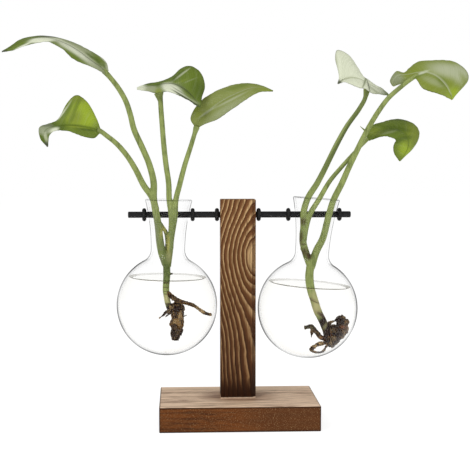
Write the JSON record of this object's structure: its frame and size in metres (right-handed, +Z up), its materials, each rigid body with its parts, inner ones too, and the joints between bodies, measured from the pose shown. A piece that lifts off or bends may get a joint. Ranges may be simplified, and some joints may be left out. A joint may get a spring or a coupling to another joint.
{
  "type": "propagation vase",
  "caption": "Plant propagation stand: a wooden post on a block carries a metal rod through glass bulb vases, kept in place by rubber rings, with rooted cuttings in water.",
  "frame": {"origin": "centre of the base block's underside, on the table", "axes": "+Z up, +X to the viewer's right along the rod, +Y away from the viewer"},
  "size_m": [0.3631, 0.08, 0.306],
  "materials": {
    "base_wood": "burnt and oiled, satin",
    "post_wood": "burnt and brushed grain, satin",
    "screw_steel": "zinc plated",
    "rod_metal": "black, slightly rough",
    "ring_rubber": "matte black",
    "vase_glass": "clear, blown",
    "stem": "fresh green stem, satin",
    "leaf": "waxy leaf",
    "root": "wet root",
    "root_bark": "wet bark"
  },
  "bodies": {
    "stand": {"base_block": "base_wood", "post": "post_wood", "post_screws": "screw_steel"},
    "rod": {"rod": "rod_metal"},
    "left_vase": {"left_glass": "vase_glass", "left_cutting_stem": "stem", "left_leaf_a": "leaf", "left_leaf_b": "leaf", "left_leaf_c": "leaf", "left_leaf_d": "leaf", "left_root_plug": "root_bark", "left_long_root": "root"},
    "right_vase": {"right_glass": "vase_glass", "right_cutting_stem": "stem", "right_leaf_e": "leaf", "right_leaf_f": "leaf", "right_leaf_g": "leaf", "right_root_mass": "root_bark", "right_finger_root": "root", "right_loop_root": "root"},
    "left_outer_ring": {"left_outer_ring": "ring_rubber"},
    "left_inner_ring": {"left_inner_ring": "ring_rubber"},
    "left_post_ring": {"left_post_ring": "ring_rubber"},
    "right_post_ring": {"right_post_ring": "ring_rubber"},
    "right_inner_ring": {"right_inner_ring": "ring_rubber"},
    "right_outer_ring": {"right_outer_ring": "ring_rubber"}
  },
  "joints": [
    {"name": "rod_turn", "type": "hinge", "parent": "stand", "child": "rod", "pos_m": [0, 0, 0.1662], "axis": [1, 0, 0], "continuous": true},
    {"name": "left_swing", "type": "hinge", "parent": "stand", "child": "left_vase", "pos_m": [-0.05514, 0, 0.1649], "axis": [1, 0, 0], "range_deg": [-60, 60]},
    {"name": "right_swing", "type": "hinge", "parent": "stand", "child": "right_vase", "pos_m": [0.06183, 0, 0.16585], "axis": [1, 0, 0], "range_deg": [-60, 60]},
    {"name": "left_outer_slide", "type": "slide", "parent": "rod", "child": "left_outer_ring", "axis": [1, 0, 0], "range_m": [-0.0105, 0]},
    {"name": "left_inner_slide", "type": "slide", "parent": "rod", "child": "left_inner_ring", "axis": [1, 0, 0], "range_m": [0, 0.012]},
    {"name": "left_post_slide", "type": "slide", "parent": "rod", "child": "left_post_ring", "axis": [1, 0, 0], "range_m": [-0.003, 0]},
    {"name": "right_post_slide", "type": "slide", "parent": "rod", "child": "right_post_ring", "axis": [1, 0, 0], "range_m": [0, 0.003]},
    {"name": "right_inner_slide", "type": "slide", "parent": "rod", "child": "right_inner_ring", "axis": [1, 0, 0], "range_m": [-0.012, 0.002]},
    {"name": "right_outer_slide", "type": "slide", "parent": "rod", "child": "right_outer_ring", "axis": [1, 0, 0], "range_m": [0, 0.0068]}
  ]
}
